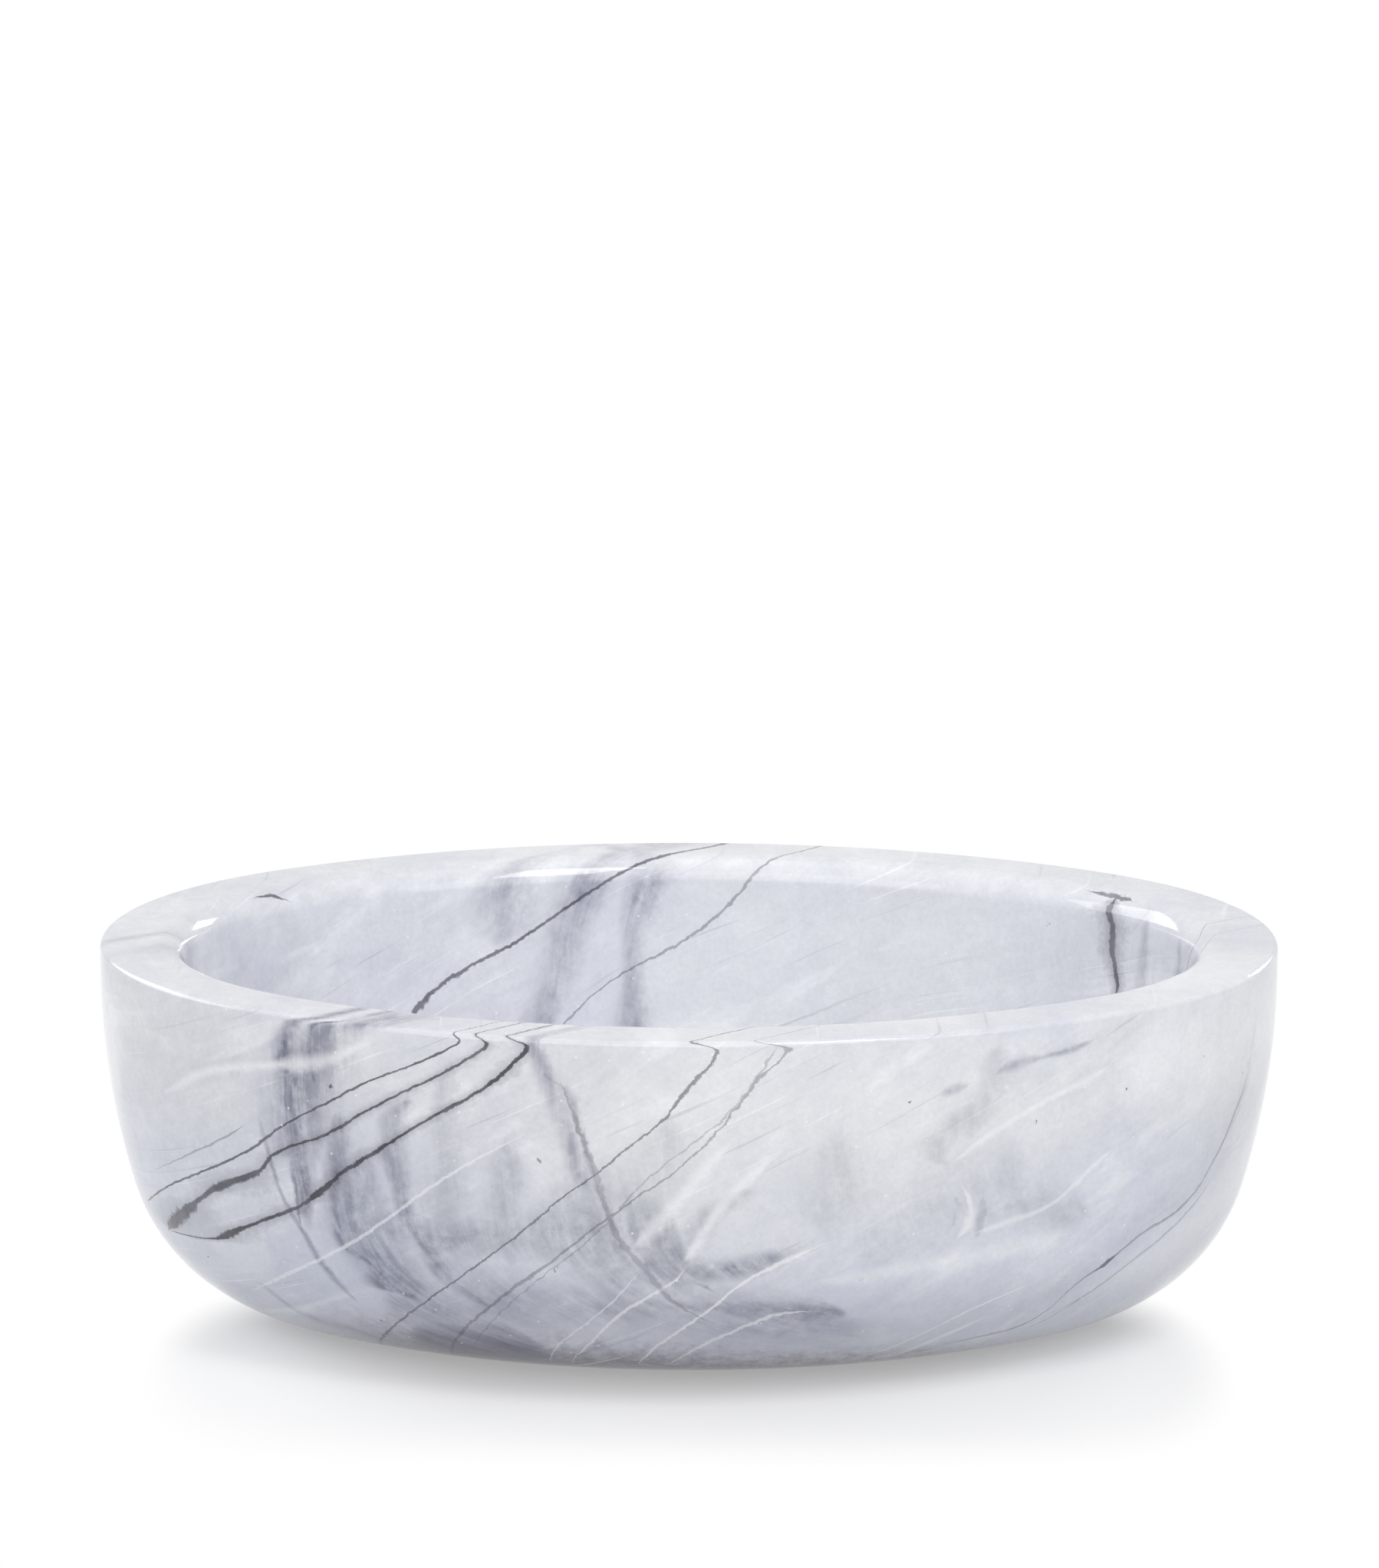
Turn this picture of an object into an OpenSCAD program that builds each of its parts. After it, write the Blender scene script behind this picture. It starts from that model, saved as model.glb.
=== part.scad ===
// Oval soap dish: a thick-walled stone bowl on four small rubber bumper feet.
// Millimetres, +Z up. The origin is on the surface that the dish stands on, under the middle of
// the oval. X runs along the dish, Y across it, and every piece is mirrored in both.

/* [Plan] */
// Length of the bowl along its long axis
bowl_length = 140; // [126:1:160]
// Width of the bowl along its short axis
bowl_width = 108; // [100:1:118]

/* [Outer wall] */
// Height of the bowl from its base to its lip
bowl_height = 44; // [38:0.5:56]
// Upright band under the lip, before the wall starts to curve in
lip_band = 3.2; // [1.5:0.1:6]
// Radius of the slow curve of the outer wall
wall_round = 91.2; // [70:0.2:130]
// Radius of the turn from the wall into the base
heel_round = 21.2; // [16:0.1:25]

/* [Rim] */
// Thickness of the wall at the rim
wall_thickness = 10; // [7:0.1:13]
// Round on the outer edge of the lip
outer_edge_round = 0.65; // [0.3:0.05:1.5]
// Round from the flat lip into the hollow
inner_edge_round = 3.2; // [1:0.1:5]

/* [Hollow] */
// Thickness of the floor between the hollow and the base
floor_thickness = 8; // [5:0.1:11]
// Radius of the slow curve of the hollow's wall
hollow_wall_round = 76; // [60:1:120]
// Radius of the cove between the hollow's wall and its floor
cove_round = 16; // [8:0.5:18]

/* [Bumper feet] */
// Diameter of a bumper foot
foot_diameter = 8; // [6:0.5:12]
// How far a bumper stands out below the base
foot_stand = 0.8; // [0.4:0.1:2]
// Round on the lower edge of a bumper
foot_edge_round = 0.6; // [0.2:0.05:0.8]
// Depth of the recess that holds a bumper
recess_depth = 1.2; // [0.6:0.1:2.5]
// Gap all round between a bumper and its recess
recess_gap = 0.25; // [0.1:0.05:0.6]
// Land left between a recess and the edge of the flat base
recess_land = 1.6; // [1:0.1:5]

/* [Hidden] */
$fn = 192;

// Overrun of every cut past the face that it opens
cut = 1;
// Overlap of the swept wall and the middle of the floor
lap = 2;

// The plan is the classic oval on 3-4-5 triangles: two end arcs and two side arcs that meet
// tangentially on the line through their centres. Every inset of it shares the same four centres.
half_length = bowl_length / 2;
half_width = bowl_width / 2;
along_share = 3 / 5;
across_share = 4 / 5;
centre_distance = (half_length - half_width) / (along_share + across_share - 1);
end_centre = centre_distance * along_share;
side_centre = centre_distance * across_share;
end_round = half_length - end_centre;
side_round = half_width + side_centre;

// How far the flat base and the hollow's flat floor lie inside the plan's outline
base_inset = side_inset(bowl_height - lip_band, wall_round, heel_round);
floor_inset = wall_thickness
    + side_inset(bowl_height - lip_band - floor_thickness, hollow_wall_round, cove_round);
sweep_depth = max(base_inset, floor_inset) + lap;

// The bumpers' centres lie on the side arcs of an inset oval, a land inside the edge of the base
recess_round = foot_diameter / 2 + recess_gap;
foot_inset = base_inset + recess_land + recess_round;
foot_place_share = 0.72;
foot_x = (half_length - foot_inset) * foot_place_share;
foot_y = sqrt((side_round - foot_inset)^2 - foot_x^2) - side_centre;

// Inward travel of a side that drops by depth along a slow arc and a tangent turn
function side_inset(depth, slow, turn) = slow - sqrt((slow - turn)^2 - (depth - turn)^2);

// Height at which the slow arc hands over to the turn
function turn_top(depth, slow, turn) = turn - turn * (depth - turn) / (slow - turn);

// Section of a vessel's side from its upright band down to its flat bottom, filled on the inner
// side, with the band's face on the Y axis and the bottom on the X axis
module side_section(height, band, slow, turn, reach) {
    depth = height - band;
    inset = side_inset(depth, slow, turn);
    hand_over = turn_top(depth, slow, turn);
    translate([-reach, depth]) square([reach, band]);
    intersection() {
        translate([-reach, hand_over]) square([reach, depth - hand_over]);
        translate([-slow, depth]) circle(slow);
    }
    intersection() {
        translate([-reach, 0]) square([reach, hand_over]);
        translate([-inset, turn]) circle(turn);
    }
    translate([-reach, 0]) square([reach - inset, hand_over]);
}

// Waste outside a round of the given radius on a corner whose solid is below and to the left
module corner_waste(radius) {
    translate([-radius, -radius]) difference() {
        square(radius + cut);
        circle(radius);
    }
}

// Section of the wall with the outer part of the floor, its outer face on the Y axis
module wall_section() {
    difference() {
        side_section(bowl_height, lip_band, wall_round, heel_round, sweep_depth);
        translate([-wall_thickness, floor_thickness])
            side_section(bowl_height - floor_thickness + cut, lip_band + cut,
                hollow_wall_round, cove_round, sweep_depth);
        translate([0, bowl_height]) corner_waste(outer_edge_round);
        translate([-wall_thickness, bowl_height]) mirror([1, 0]) corner_waste(inner_edge_round);
    }
}

// The section turned about the Z axis and kept within the wedge between the joint lines, where
// along and across say how far each line runs from the centre
module swept_wall(radius, along, across) {
    intersection() {
        rotate_extrude() translate([radius, 0]) wall_section();
        linear_extrude(bowl_height) polygon([[0, 0], [along, -across], [along, across]]);
    }
}

// The oval, drawn inset from the bowl's plan
module oval(inset) {
    joint_x = end_centre + (end_round - inset) * along_share;
    intersection() {
        translate([0, side_centre]) circle(side_round - inset);
        translate([0, -side_centre]) circle(side_round - inset);
        translate([-joint_x, -half_width]) square([2 * joint_x, bowl_width]);
    }
    for (end = [-1, 1]) translate([end * end_centre, 0]) circle(end_round - inset);
}

module bowl() {
    reach = 2 * bowl_length;
    color("gainsboro") translate([0, 0, foot_stand]) difference() {
        union() {
            for (turn = [0, 180]) rotate(turn) {
                translate([end_centre, 0])
                    swept_wall(end_round, reach * along_share, reach * across_share);
                translate([0, -side_centre]) rotate(90)
                    swept_wall(side_round, reach * across_share, reach * along_share);
            }
            linear_extrude(floor_thickness) oval(sweep_depth - lap / 2);
        }
        for (x = [-foot_x, foot_x], y = [-foot_y, foot_y])
            translate([x, y, -cut]) cylinder(h = recess_depth + cut, r = recess_round);
    }
}

// A bumper seated against the roof of its recess; x and y say which quarter of the base
module foot(x, y) {
    height = foot_stand + recess_depth;
    color("whitesmoke") translate([x * foot_x, y * foot_y, 0]) rotate_extrude() difference() {
        square([foot_diameter / 2, height]);
        translate([foot_diameter / 2, 0]) mirror([0, 1]) corner_waste(foot_edge_round);
    }
}

module foot_front_left() { foot(-1, -1); }
module foot_front_right() { foot(1, -1); }
module foot_back_left() { foot(-1, 1); }
module foot_back_right() { foot(1, 1); }

bowl();
foot_front_left();
foot_front_right();
foot_back_left();
foot_back_right();
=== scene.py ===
import math

import bmesh
import bpy
from mathutils import Matrix, Vector


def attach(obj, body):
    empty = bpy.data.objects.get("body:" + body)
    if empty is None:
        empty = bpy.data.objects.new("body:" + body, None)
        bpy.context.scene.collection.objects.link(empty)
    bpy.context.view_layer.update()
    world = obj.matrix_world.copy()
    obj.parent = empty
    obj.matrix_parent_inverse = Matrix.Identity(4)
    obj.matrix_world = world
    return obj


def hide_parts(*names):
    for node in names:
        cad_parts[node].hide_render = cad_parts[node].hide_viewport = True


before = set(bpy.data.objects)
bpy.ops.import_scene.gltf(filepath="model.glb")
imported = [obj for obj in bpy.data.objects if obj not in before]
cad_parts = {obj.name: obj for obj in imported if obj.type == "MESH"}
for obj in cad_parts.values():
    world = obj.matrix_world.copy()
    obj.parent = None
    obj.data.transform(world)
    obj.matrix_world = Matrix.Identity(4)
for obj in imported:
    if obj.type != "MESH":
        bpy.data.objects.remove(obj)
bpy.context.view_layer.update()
mm = 0.001
print("frame loaded:", sorted(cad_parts))


# shared helpers

def tone(red, green, blue):    # a colour as it shows on screen, 0 to 255
    def linear(value):
        share = value / 255
        return share / 12.92 if share <= 0.04045 else ((share + 0.055) / 1.055) ** 2.4
    return (linear(red), linear(green), linear(blue), 1)


def addPiece(name, mesh, material):
    piece = bpy.data.objects.new(name, mesh)
    bpy.context.scene.collection.objects.link(piece)
    mesh.materials.append(material)
    return piece


def place(tree, kind, **settings):
    made = tree.nodes.new(kind)
    for name, value in settings.items():
        setattr(made, name, value)
    return made


def feed(tree, sockets, *values):    # each socket in turn gets a link or a plain value
    for socket, value in zip(sockets, values):
        if isinstance(value, bpy.types.NodeSocket):
            tree.links.new(value, socket)
        else:
            socket.default_value = value


def calc(tree, operation, *values, clamp=False):
    made = place(tree, "ShaderNodeMath", operation=operation, use_clamp=clamp)
    feed(tree, made.inputs, *values)
    return made.outputs[0]


def blendTone(tree, share, under, over, kind="MIX"):
    made = place(tree, "ShaderNodeMix", data_type="RGBA", blend_type=kind)
    feed(tree, (made.inputs["Factor"], made.inputs[6], made.inputs[7]), share, under, over)
    return made.outputs[2]


def newMaterial(name):
    material = bpy.data.materials.new(name)
    material.use_nodes = True
    material.node_tree.nodes.clear()
    return material


def finishTree(tree, shader, kind="ShaderNodeOutputMaterial"):
    output = place(tree, kind)
    tree.links.new(shader, output.inputs["Surface"])


def finishSurface(tree, base, roughness, height, relief):    # relief: the bump's strength and depth
    surface = place(tree, "ShaderNodeBsdfPrincipled")
    tree.links.new(base, surface.inputs["Base Color"])
    tree.links.new(roughness, surface.inputs["Roughness"])
    bump = place(tree, "ShaderNodeBump")
    bump.inputs["Strength"].default_value = relief[0]
    bump.inputs["Distance"].default_value = relief[1] * mm
    tree.links.new(height, bump.inputs["Height"])
    tree.links.new(bump.outputs[0], surface.inputs["Normal"])
    finishTree(tree, surface.outputs[0])
    return surface


def mixShaders(tree, share, under, over):
    mix = place(tree, "ShaderNodeMixShader")
    feed(tree, mix.inputs, share, under, over)
    return mix.outputs[0]


def raysOf(tree, *kinds):    # 1 for a ray of any of these kinds
    path = place(tree, "ShaderNodeLightPath")
    share = path.outputs["Is " + kinds[0] + " Ray"]
    for kind in kinds[1:]:
        share = calc(tree, "MAXIMUM", share, path.outputs["Is " + kind + " Ray"])
    return share


# the stone bowl: one section, swept round the four centres of the oval

bowlShape = {    # millimetres and degrees
    "halfLength": 70, "halfWidth": 54, "endCentre": 24, "sideCentre": 32,    # the outer edge
    "endTurn": 106.2602, "sideTurn": 73.7398,    # degrees that each arc of the oval spans
    "endSteps": 72, "sideSteps": 60,
    "baseHeight": 0.8, "baseInset": 24, "support": 0.5,
    "heelRound": 21.2, "heelTurn": 73.7398, "heelSteps": 22,
    "wallRound": 91.2, "wallTurn": 16.2602, "wallSteps": 12,
    "band": 2.55, "outerEdge": 0.65, "outerSteps": 8,
    "lipWidth": 6.15, "lipStrip": 0.15,    # a strip on each side keeps the lip's shading flat
    "innerEdge": 3.2, "innerSteps": 10,
    "hollowRound": 76, "hollowSteps": 10, "coveRound": 16, "coveSteps": 18,
    "recessRound": 4.25, "recessDepth": 1.2, "recessX": 28.908, "recessY": 16.137,
    "recessSides": 64,
}
weld = 0.01 * mm    # points closer than this are one


def drawSection(bm, shape):
    def push(vert, along, up):    # a straight stretch of the section
        made = bmesh.ops.extrude_vert_indiv(bm, verts=[vert])["verts"][0]
        bmesh.ops.translate(bm, verts=[made], vec=(along * mm, 0, up * mm))
        return made

    def turn(vert, along, up, degrees, steps):    # an arc about a centre beside the last point
        centre = vert.co + Vector((along * mm, 0, up * mm))
        swept = bmesh.ops.spin(bm, geom=[vert], cent=centre, axis=(0, -1, 0),
                               angle=math.radians(degrees), steps=steps, use_merge=False)
        return [part for part in swept["geom_last"] if isinstance(part, bmesh.types.BMVert)][0]

    def centreOf(radius, degrees):    # from a point on an arc to its centre
        return -radius * math.cos(math.radians(degrees)), -radius * math.sin(math.radians(degrees))

    lean = -shape["wallTurn"]
    inside = shape["halfLength"] - shape["baseInset"] - shape["support"]
    edge = bm.verts.new((inside * mm, 0, shape["baseHeight"] * mm))
    edge = push(edge, shape["support"], 0)
    edge = turn(edge, 0, shape["heelRound"], shape["heelTurn"], shape["heelSteps"])
    edge = turn(edge, *centreOf(shape["wallRound"], lean), shape["wallTurn"], shape["wallSteps"])
    edge = push(edge, 0, shape["band"])
    edge = turn(edge, -shape["outerEdge"], 0, 90, shape["outerSteps"])
    edge = push(edge, -shape["lipStrip"], 0)
    edge = push(edge, 2 * shape["lipStrip"] - shape["lipWidth"], 0)
    edge = push(edge, -shape["lipStrip"], 0)
    edge = turn(edge, 0, -shape["innerEdge"], 90, shape["innerSteps"])
    edge = turn(edge, -shape["hollowRound"], 0, lean, shape["hollowSteps"])
    edge = turn(edge, *centreOf(shape["coveRound"], lean), -shape["heelTurn"], shape["coveSteps"])
    push(edge, -shape["support"], 0)


def sweepOval(bm, shape):
    ring = bm.verts[:] + bm.edges[:]
    first = Matrix.Rotation(math.radians(-shape["endTurn"] / 2), 4, "Z")
    about = Matrix.Translation((shape["endCentre"] * mm, 0, 0))
    bmesh.ops.transform(bm, verts=bm.verts[:], matrix=about @ first @ about.inverted())
    arcs = (
        (shape["endCentre"], 0, shape["endTurn"], shape["endSteps"]),
        (0, -shape["sideCentre"], shape["sideTurn"], shape["sideSteps"]),
        (-shape["endCentre"], 0, shape["endTurn"], shape["endSteps"]),
        (0, shape["sideCentre"], shape["sideTurn"], shape["sideSteps"]),
    )
    for x, y, degrees, steps in arcs:
        swept = bmesh.ops.spin(bm, geom=ring, cent=(x * mm, y * mm, 0), axis=(0, 0, 1),
                               angle=math.radians(degrees), steps=steps, use_merge=False)
        ring = swept["geom_last"]
    bmesh.ops.remove_doubles(bm, verts=bm.verts[:], dist=weld)


def openEdges(bm, height):
    return [edge for edge in bm.edges if edge.is_boundary
            and abs(edge.verts[0].co.z - height * mm) < weld]


def edgesOf(verts):    # each edge once, in the order of the vertices
    return list(dict.fromkeys(edge for vert in verts for edge in vert.link_edges))


def drillRecesses(bm, shape):    # the flat base, with a shallow round recess for each bumper
    rims = []
    for sideX in (-1, 1):
        for sideY in (-1, 1):
            spot = Matrix.Translation((sideX * shape["recessX"] * mm, sideY * shape["recessY"] * mm,
                                       shape["baseHeight"] * mm))
            circle = bmesh.ops.create_circle(
                bm, cap_ends=False, segments=shape["recessSides"],
                radius=shape["recessRound"] * mm, matrix=spot)["verts"]
            rims.append(edgesOf(circle))
    outline = openEdges(bm, shape["baseHeight"])
    bmesh.ops.triangle_fill(bm, use_beauty=True, use_dissolve=False,
                            edges=outline + [edge for rim in rims for edge in rim])
    for rim in rims:
        walls = bmesh.ops.extrude_edge_only(bm, edges=rim)["geom"]
        roof = [part for part in walls if isinstance(part, bmesh.types.BMVert)]
        bmesh.ops.translate(bm, verts=roof, vec=(0, 0, shape["recessDepth"] * mm))
        top = [edge for edge in edgesOf(roof) if edge.is_boundary]
        bmesh.ops.edgeloop_fill(bm, edges=top)
        for edge in rim + top:
            edge.smooth = False


def makeBowl(material):
    bm = bmesh.new()
    drawSection(bm, bowlShape)
    sweepOval(bm, bowlShape)
    overBase = 2 * bowlShape["baseHeight"] * mm
    floorHeight = min(edge.verts[0].co.z for edge in bm.edges
                      if edge.is_boundary and edge.verts[0].co.z > overBase) / mm
    bmesh.ops.edgeloop_fill(bm, edges=openEdges(bm, floorHeight))
    drillRecesses(bm, bowlShape)
    bmesh.ops.recalc_face_normals(bm, faces=bm.faces[:])
    for face in bm.faces:
        face.smooth = True
    mesh = bpy.data.meshes.new("bowl_stone")
    bm.to_mesh(mesh)
    bm.free()
    bowl = addPiece("bowl_stone", mesh, material)
    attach(bowl, "root")
    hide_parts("bowl")
    print("bowl:", len(mesh.polygons), "faces")


# the stone's pattern lives in the block, in millimetres: beds that lean back to the left or right

reachUp = (0, 45)    # heights that a line's curve covers
reachAcross = (-150, 150)    # places across the beds that it covers
girthMost = 12    # largest half width of a line
wallMiddle = (    # middle of the wall at each height, as a share of the way out
    (0, 0), (6.6, 0), (8.4, 0.72), (10, 0.78), (13.3, 0.83), (20, 0.88), (30, 0.915), (45, 0.93))

stoneLook = {
    "pale": tone(228, 230, 234), "grey": tone(204, 205, 213), "coolGrey": tone(196, 199, 214),
    "white": tone(230, 231, 232), "lilac": tone(182, 184, 203), "blue": tone(203, 211, 233),
    "paintedShadePlum": tone(112, 104, 118), "smokeAndPaintedShade": tone(97, 99, 123), "chalkAndPaintedHighlight": tone(240, 241, 245),
    "ink": tone(50, 48, 62), "rustInk": tone(84, 82, 98), "speck": tone(86, 84, 98),
    "layers": {    # share and tone of each layer over the clouds, from the lowest up
        "cool": (0.55, "coolGrey"), "glow": (0.5, "white"), "low": (0.42, "lilac"),
        # the foot layer's plum is painted shade low on the front of the wall
        "blue": (0.3, "blue"), "foot": (0.85, "paintedShadePlum"), "chalkStreaks": (0.6, "chalkAndPaintedHighlight"),
    },
    "hairShare": 0.2, "ior": 1.5, "gloss": (0.05, 0.11), "relief": (0.15, 0.05),
}

stoneNoise = {    # scale, detail, roughness and distortion
    "wander": (0.018, 2), "rough": (0.75, 3, 0.62), "cloud": (1.3, 8, 0.7, 0.8),
    "mottle": (0.22, 6, 0.68, 0.4), "cool": (0.045, 4, 0.6, 0.5), "fine": (3.4, 5, 0.65, 0.3),
    "broad": (2.2, 4, 0.55, 0.2), "comb": (1, 2, 0.5, 0.1), "brush": (0.8, 5, 0.68, 0.3),
    "crumbs": (0.5, 5, 0.72), "patches": (0.11, 3, 0.6), "fray": (1.4, 3, 0.7), "rust": (0.3, 2),
    "jag": (2.2, 2), "blotch": (0.4, 5, 0.7), "grain": (1.5, 4, 0.8), "wear": (0.5, 3),
}

stoneRamps = {    # the value that gives 0, then the one that gives 1
    "depth": (-16, 26), "behind": (-16, 4), "front": (6, -22), "fadeAlong": (6, 30),
    "cloud": (0.34, 0.66), "mottle": (0.3, 0.7), "cool": (0.42, 0.7), "broad": (0.56, 0.74),
    "chalkHairs": (0.66, 0.78), "darkHairs": (0.34, 0.24),
    "brush": (0.34, 0.6), "crumbs": (0.26, 0.6), "patches": (0.3, 0.62),
    "glow": (1.2, -0.3), "low": (24, 8), "lowAlong": (6, 46),
    "blueAlong": (-30, 56), "blueUp": (38, 20), "foot": (9, 2.5), "footAlong": (46, 23),
    "outside": (-0.03, 0.03), "lip": (42.4, 43.8), "offBase": (0.52, 0.74),
    "rust": (0.4, 0.62), "specks": (0.55, 1), "pits": (0.08, 0.04),
}

stoneForm = {    # a pair without a note is a factor and what is added
    "wander": 26, "roughAcross": 1.3, "roughUp": 0.5,    # millimetres
    "tilt": -0.5,    # slope of the clouds and streaks
    "bed": (0.03, 0.1, 0.02), "comb": (0.05, 1.5, 0.03), "upright": (0.55, 0.07, 0.08),    # scales
    "mottle": 0.45, "broad": 0.8, "worked": 0.55, "patchy": (0.6, 0.5),
    "bendHeight": 22, "bend": -0.08,    # below this height the smudges turn along the foot
    "glowAlong": (16, 30), "glowUp": (30, 17),    # middle and spread in millimetres
    "glowRag": -0.8, "lowRag": 24, "lowEnd": (-0.8, 1),
    "footRag": 3.5, "footSlant": 0.065, "footMiddle": -2,
    "blueOutside": (0.8, 0.2), "fade": (-0.3, -0.7), "fray": (1.7, 0.15),
    "jag": (1.6, -1.3, 2),    # millimetres along x, y and z
    "speckScale": 0.2, "speckSize": 0.05, "speckShare": 0.75, "pitScale": 0.4, "pitShare": 0.6,
    "blotch": (0.17, 0.8), "grain": 0.26,
}

lineEdge = {    # in girths, unless the note says otherwise
    "crisp": (0.5, 1.3), "soft": (0, 1.5),    # where the edge starts and ends to fade
    "halo": 5,
    "softEnd": 0.6,    # share of the full girth at which a soft line has all its ink
    "runOut": 0.01,    # level run past both ends, as a share of the curve's reach
    "least": 0.00001,    # keeps the girth off zero
}

# A line goes through places across the beds at given heights or, where it is level, through
# heights at given places. Its girth is half its width, and its ink is its strength. A soft line
# fades at its edges, as every smudge does, a halo tints the stone beside it, and an outer line
# stays off the hollow, as every level line does.
darkVeins = (
    {"lean": "left", "ink": 0.85,
     "line": ((16.5, -101.3), (20.1, -91), (24.8, -76), (27.6, -68.2), (31.7, -59.8), (35.5, -50.6),
              (38.5, -43.4), (41, -36), (42.8, -31.7), (44, -29.6), (44.7, -30.8)),
     "girth": ((15.6, 0), (16.6, 0.5), (18.5, 0.42), (24, 0.55), (30, 0.4), (43, 0.36), (44.5, 0.2),
               (44.8, 0.1))},
    {"lean": "left", "ink": 0.9, "halo": 0.25,
     "line": ((13.4, -96.5), (17.7, -86.7), (19.9, -81.8), (22.8, -74.4), (24.9, -67.6),
              (28.3, -61.6), (31.3, -52.2), (34.5, -45.2), (37.5, -38.3), (39.8, -32.7),
              (42, -28.4), (43.9, -25.6), (44.7, -27.6)),
     "girth": ((13.2, 0), (14.4, 1.9), (16, 2.7), (18.4, 2.2), (19.6, 1), (21.2, 1), (22.4, 2),
               (24.6, 1.5), (26, 0.6), (30, 0.6), (34, 0.45), (43.4, 0.42), (44.8, 0.12))},
    {"lean": "left", "ink": 0.95, "halo": 0.3,
     "line": ((13.6, -95), (15.2, -80.1), (17.2, -73.8), (19.4, -66.7), (22.2, -58.5),
              (24.7, -53.7), (26.7, -50.4), (29.7, -44.3), (33.3, -37.2), (36.2, -31.1),
              (38.9, -25.8), (41.6, -22.2), (43.8, -19.9), (44.7, -23)),
     "girth": ((13.3, 0), (14, 0.8), (15.1, 0.9), (16, 1.7), (17.6, 1.1), (18.4, 0.8), (21.4, 0.9),
               (22.3, 0.5), (23.6, 1), (25, 0.9), (26, 0.6), (29.8, 0.75), (31, 0.42), (35, 0.42),
               (36.2, 0.6), (38, 0.45), (43.6, 0.45), (44.8, 0.15))},
    {"lean": "left", "ink": 0.66,
     "line": ((0.5, -66), (4.2, -57), (6.4, -52.2), (11.1, -42.3), (16, -32.9), (22.5, -22),
              (26.1, -17), (28.9, -12.4), (32.4, -7.6), (35.4, -3.6), (40.2, 0.5), (43.9, 3.2),
              (44.7, 0.2)),
     "girth": ((0, 0.3), (4.4, 0.35), (11, 0.28), (22, 0.24), (26, 0.2), (35, 0.2), (38, 0.26),
               (40.3, 0.36), (43.8, 0.24), (44.7, 0.3), (44.8, 0.1))},
    {"lean": "left", "ink": 0.46,
     "line": ((0.5, -52), (4.2, -44.9), (9.1, -36), (12.6, -29.8), (16.4, -23.2), (18.2, -20.1),
              (22.1, -14.1), (27.1, -6.5), (29.1, -3.2), (34.3, 2.7), (38, 5.6), (40.7, 7.5),
              (42.6, 9.5), (43.9, 10.4), (44.7, 7)),
     "girth": ((0, 0.3), (9, 0.34), (14, 0.36), (16, 0.5), (18, 0.3), (26, 0.2), (39.8, 0.18),
               (40.7, 0.4), (41.6, 0.16), (43.4, 0.2), (44, 0.45), (44.8, 0.1))},
    {"lean": "left", "ink": 0.3,
     "line": ((9, -33.5), (12.6, -27.6), (16.4, -21.6), (22.1, -13), (27.1, -7.6), (30, -4.2),
              (32.8, -0.3), (36.2, 3.8), (40.1, 6.9), (43.7, 9)),
     "girth": ((4, 0), (9, 0.16), (20, 0.16), (43, 0.16), (44.4, 0))},
    {"lean": "left", "ink": 0.34,
     "line": ((10, -3), (11.8, -4.6), (14.1, -6.5), (18.2, -8.4), (20.6, -10.1), (24.4, -11.1),
              (29, -11.8), (34.5, -13.4), (39.2, -15.1)),
     "girth": ((10, 0), (13, 0.3), (18, 0.5), (24, 0.45), (29, 0.4), (36, 0.3), (41, 0))},
    {"lean": "left", "ink": 0.75, "outer": True,
     "line": ((36.2, -51), (38.2, -50.4)), "girth": ((36.8, 0), (37.1, 0.34), (37.4, 0))},
    {"lean": "left", "ink": 0.6, "outer": True,
     "line": ((29.4, -18.4), (31.4, -19.4)), "girth": ((30.2, 0), (30.6, 0.34), (31, 0))},
    {"lean": "left", "ink": 0.42, "level": True,
     "line": ((-101, 19.6), (-81.5, 25.7), (-71.1, 29.4), (-61, 34.2)),
     "girth": ((-100, 0), (-90, 0.06), (-82, 0.12), (-72, 0.16), (-67, 0))},
    {"lean": "right", "ink": 0.44, "level": True,
     "line": ((46, 4.9), (52, 5.7), (56, 6.1), (60, 7.8), (62, 10.4), (64.1, 12.3), (67.9, 13.9),
              (70.8, 15.4), (75.3, 17.2), (80.9, 18.3), (86.2, 20.2), (90.2, 23.2), (93.2, 25.7),
              (96, 28.9), (98.7, 31.3), (100.5, 35)),
     "girth": ((46, 0), (52, 0.18), (60, 0.2), (66.3, 0.2), (68, 0.3), (69.7, 0.22), (84, 0.22),
               (90, 0.2), (95, 0.3), (99, 0.2), (101, 0))},
    {"lean": "right", "ink": 0.8, "level": True,
     "line": ((66, 13.1), (67.9, 13.9), (70, 15)), "girth": ((66.2, 0), (68, 0.5), (69.8, 0))},
    {"lean": "right", "ink": 0.3, "level": True,
     "line": ((58, 4.6), (61.1, 6.2), (65.3, 8.8), (69.8, 11.3), (74.4, 13.7), (80.4, 15.9),
              (85.8, 18.1), (90, 20.4), (95, 25.4)),
     "girth": ((58, 0), (62, 0.18), (74, 0.24), (86, 0.22), (95, 0))},
)

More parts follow.
